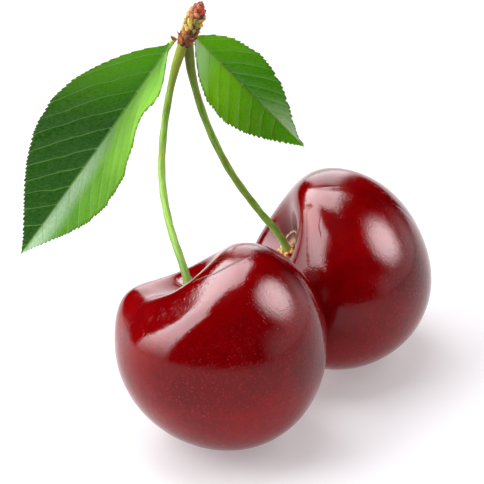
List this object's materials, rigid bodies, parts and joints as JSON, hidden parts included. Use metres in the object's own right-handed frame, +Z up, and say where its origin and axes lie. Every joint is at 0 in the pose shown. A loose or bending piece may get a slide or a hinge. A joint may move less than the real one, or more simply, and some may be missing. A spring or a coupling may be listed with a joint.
{
  "type": "cherries on stalks",
  "caption": "Sweet cherries joined by their stalks at a leafy spur, resting side by side and leaning on a leaf tip.",
  "frame": {"origin": "bottom centre of the whole pair, on the surface that it rests on", "axes": "+Z up, +X to the right seen from the front, +Y towards the back, where the stalks and leaves lean"},
  "size_m": [0.0538, 0.0612, 0.0445],
  "materials": {
    "fruit_skin": "smooth, wet-looking dark red skin",
    "stalk": "satin green stem with brown tinges",
    "spur_bark": "dry, scaly brown bud scales",
    "leaf": "satin green blade with a pale sheen"
  },
  "bodies": {
    "root": {"front_fruit": "fruit_skin", "back_fruit": "fruit_skin", "front_stalk": "stalk", "back_stalk": "stalk", "spur": "spur_bark", "large_leaf": "leaf", "small_leaf": "leaf", "stipule": "spur_bark"}
  },
  "joints": []
}
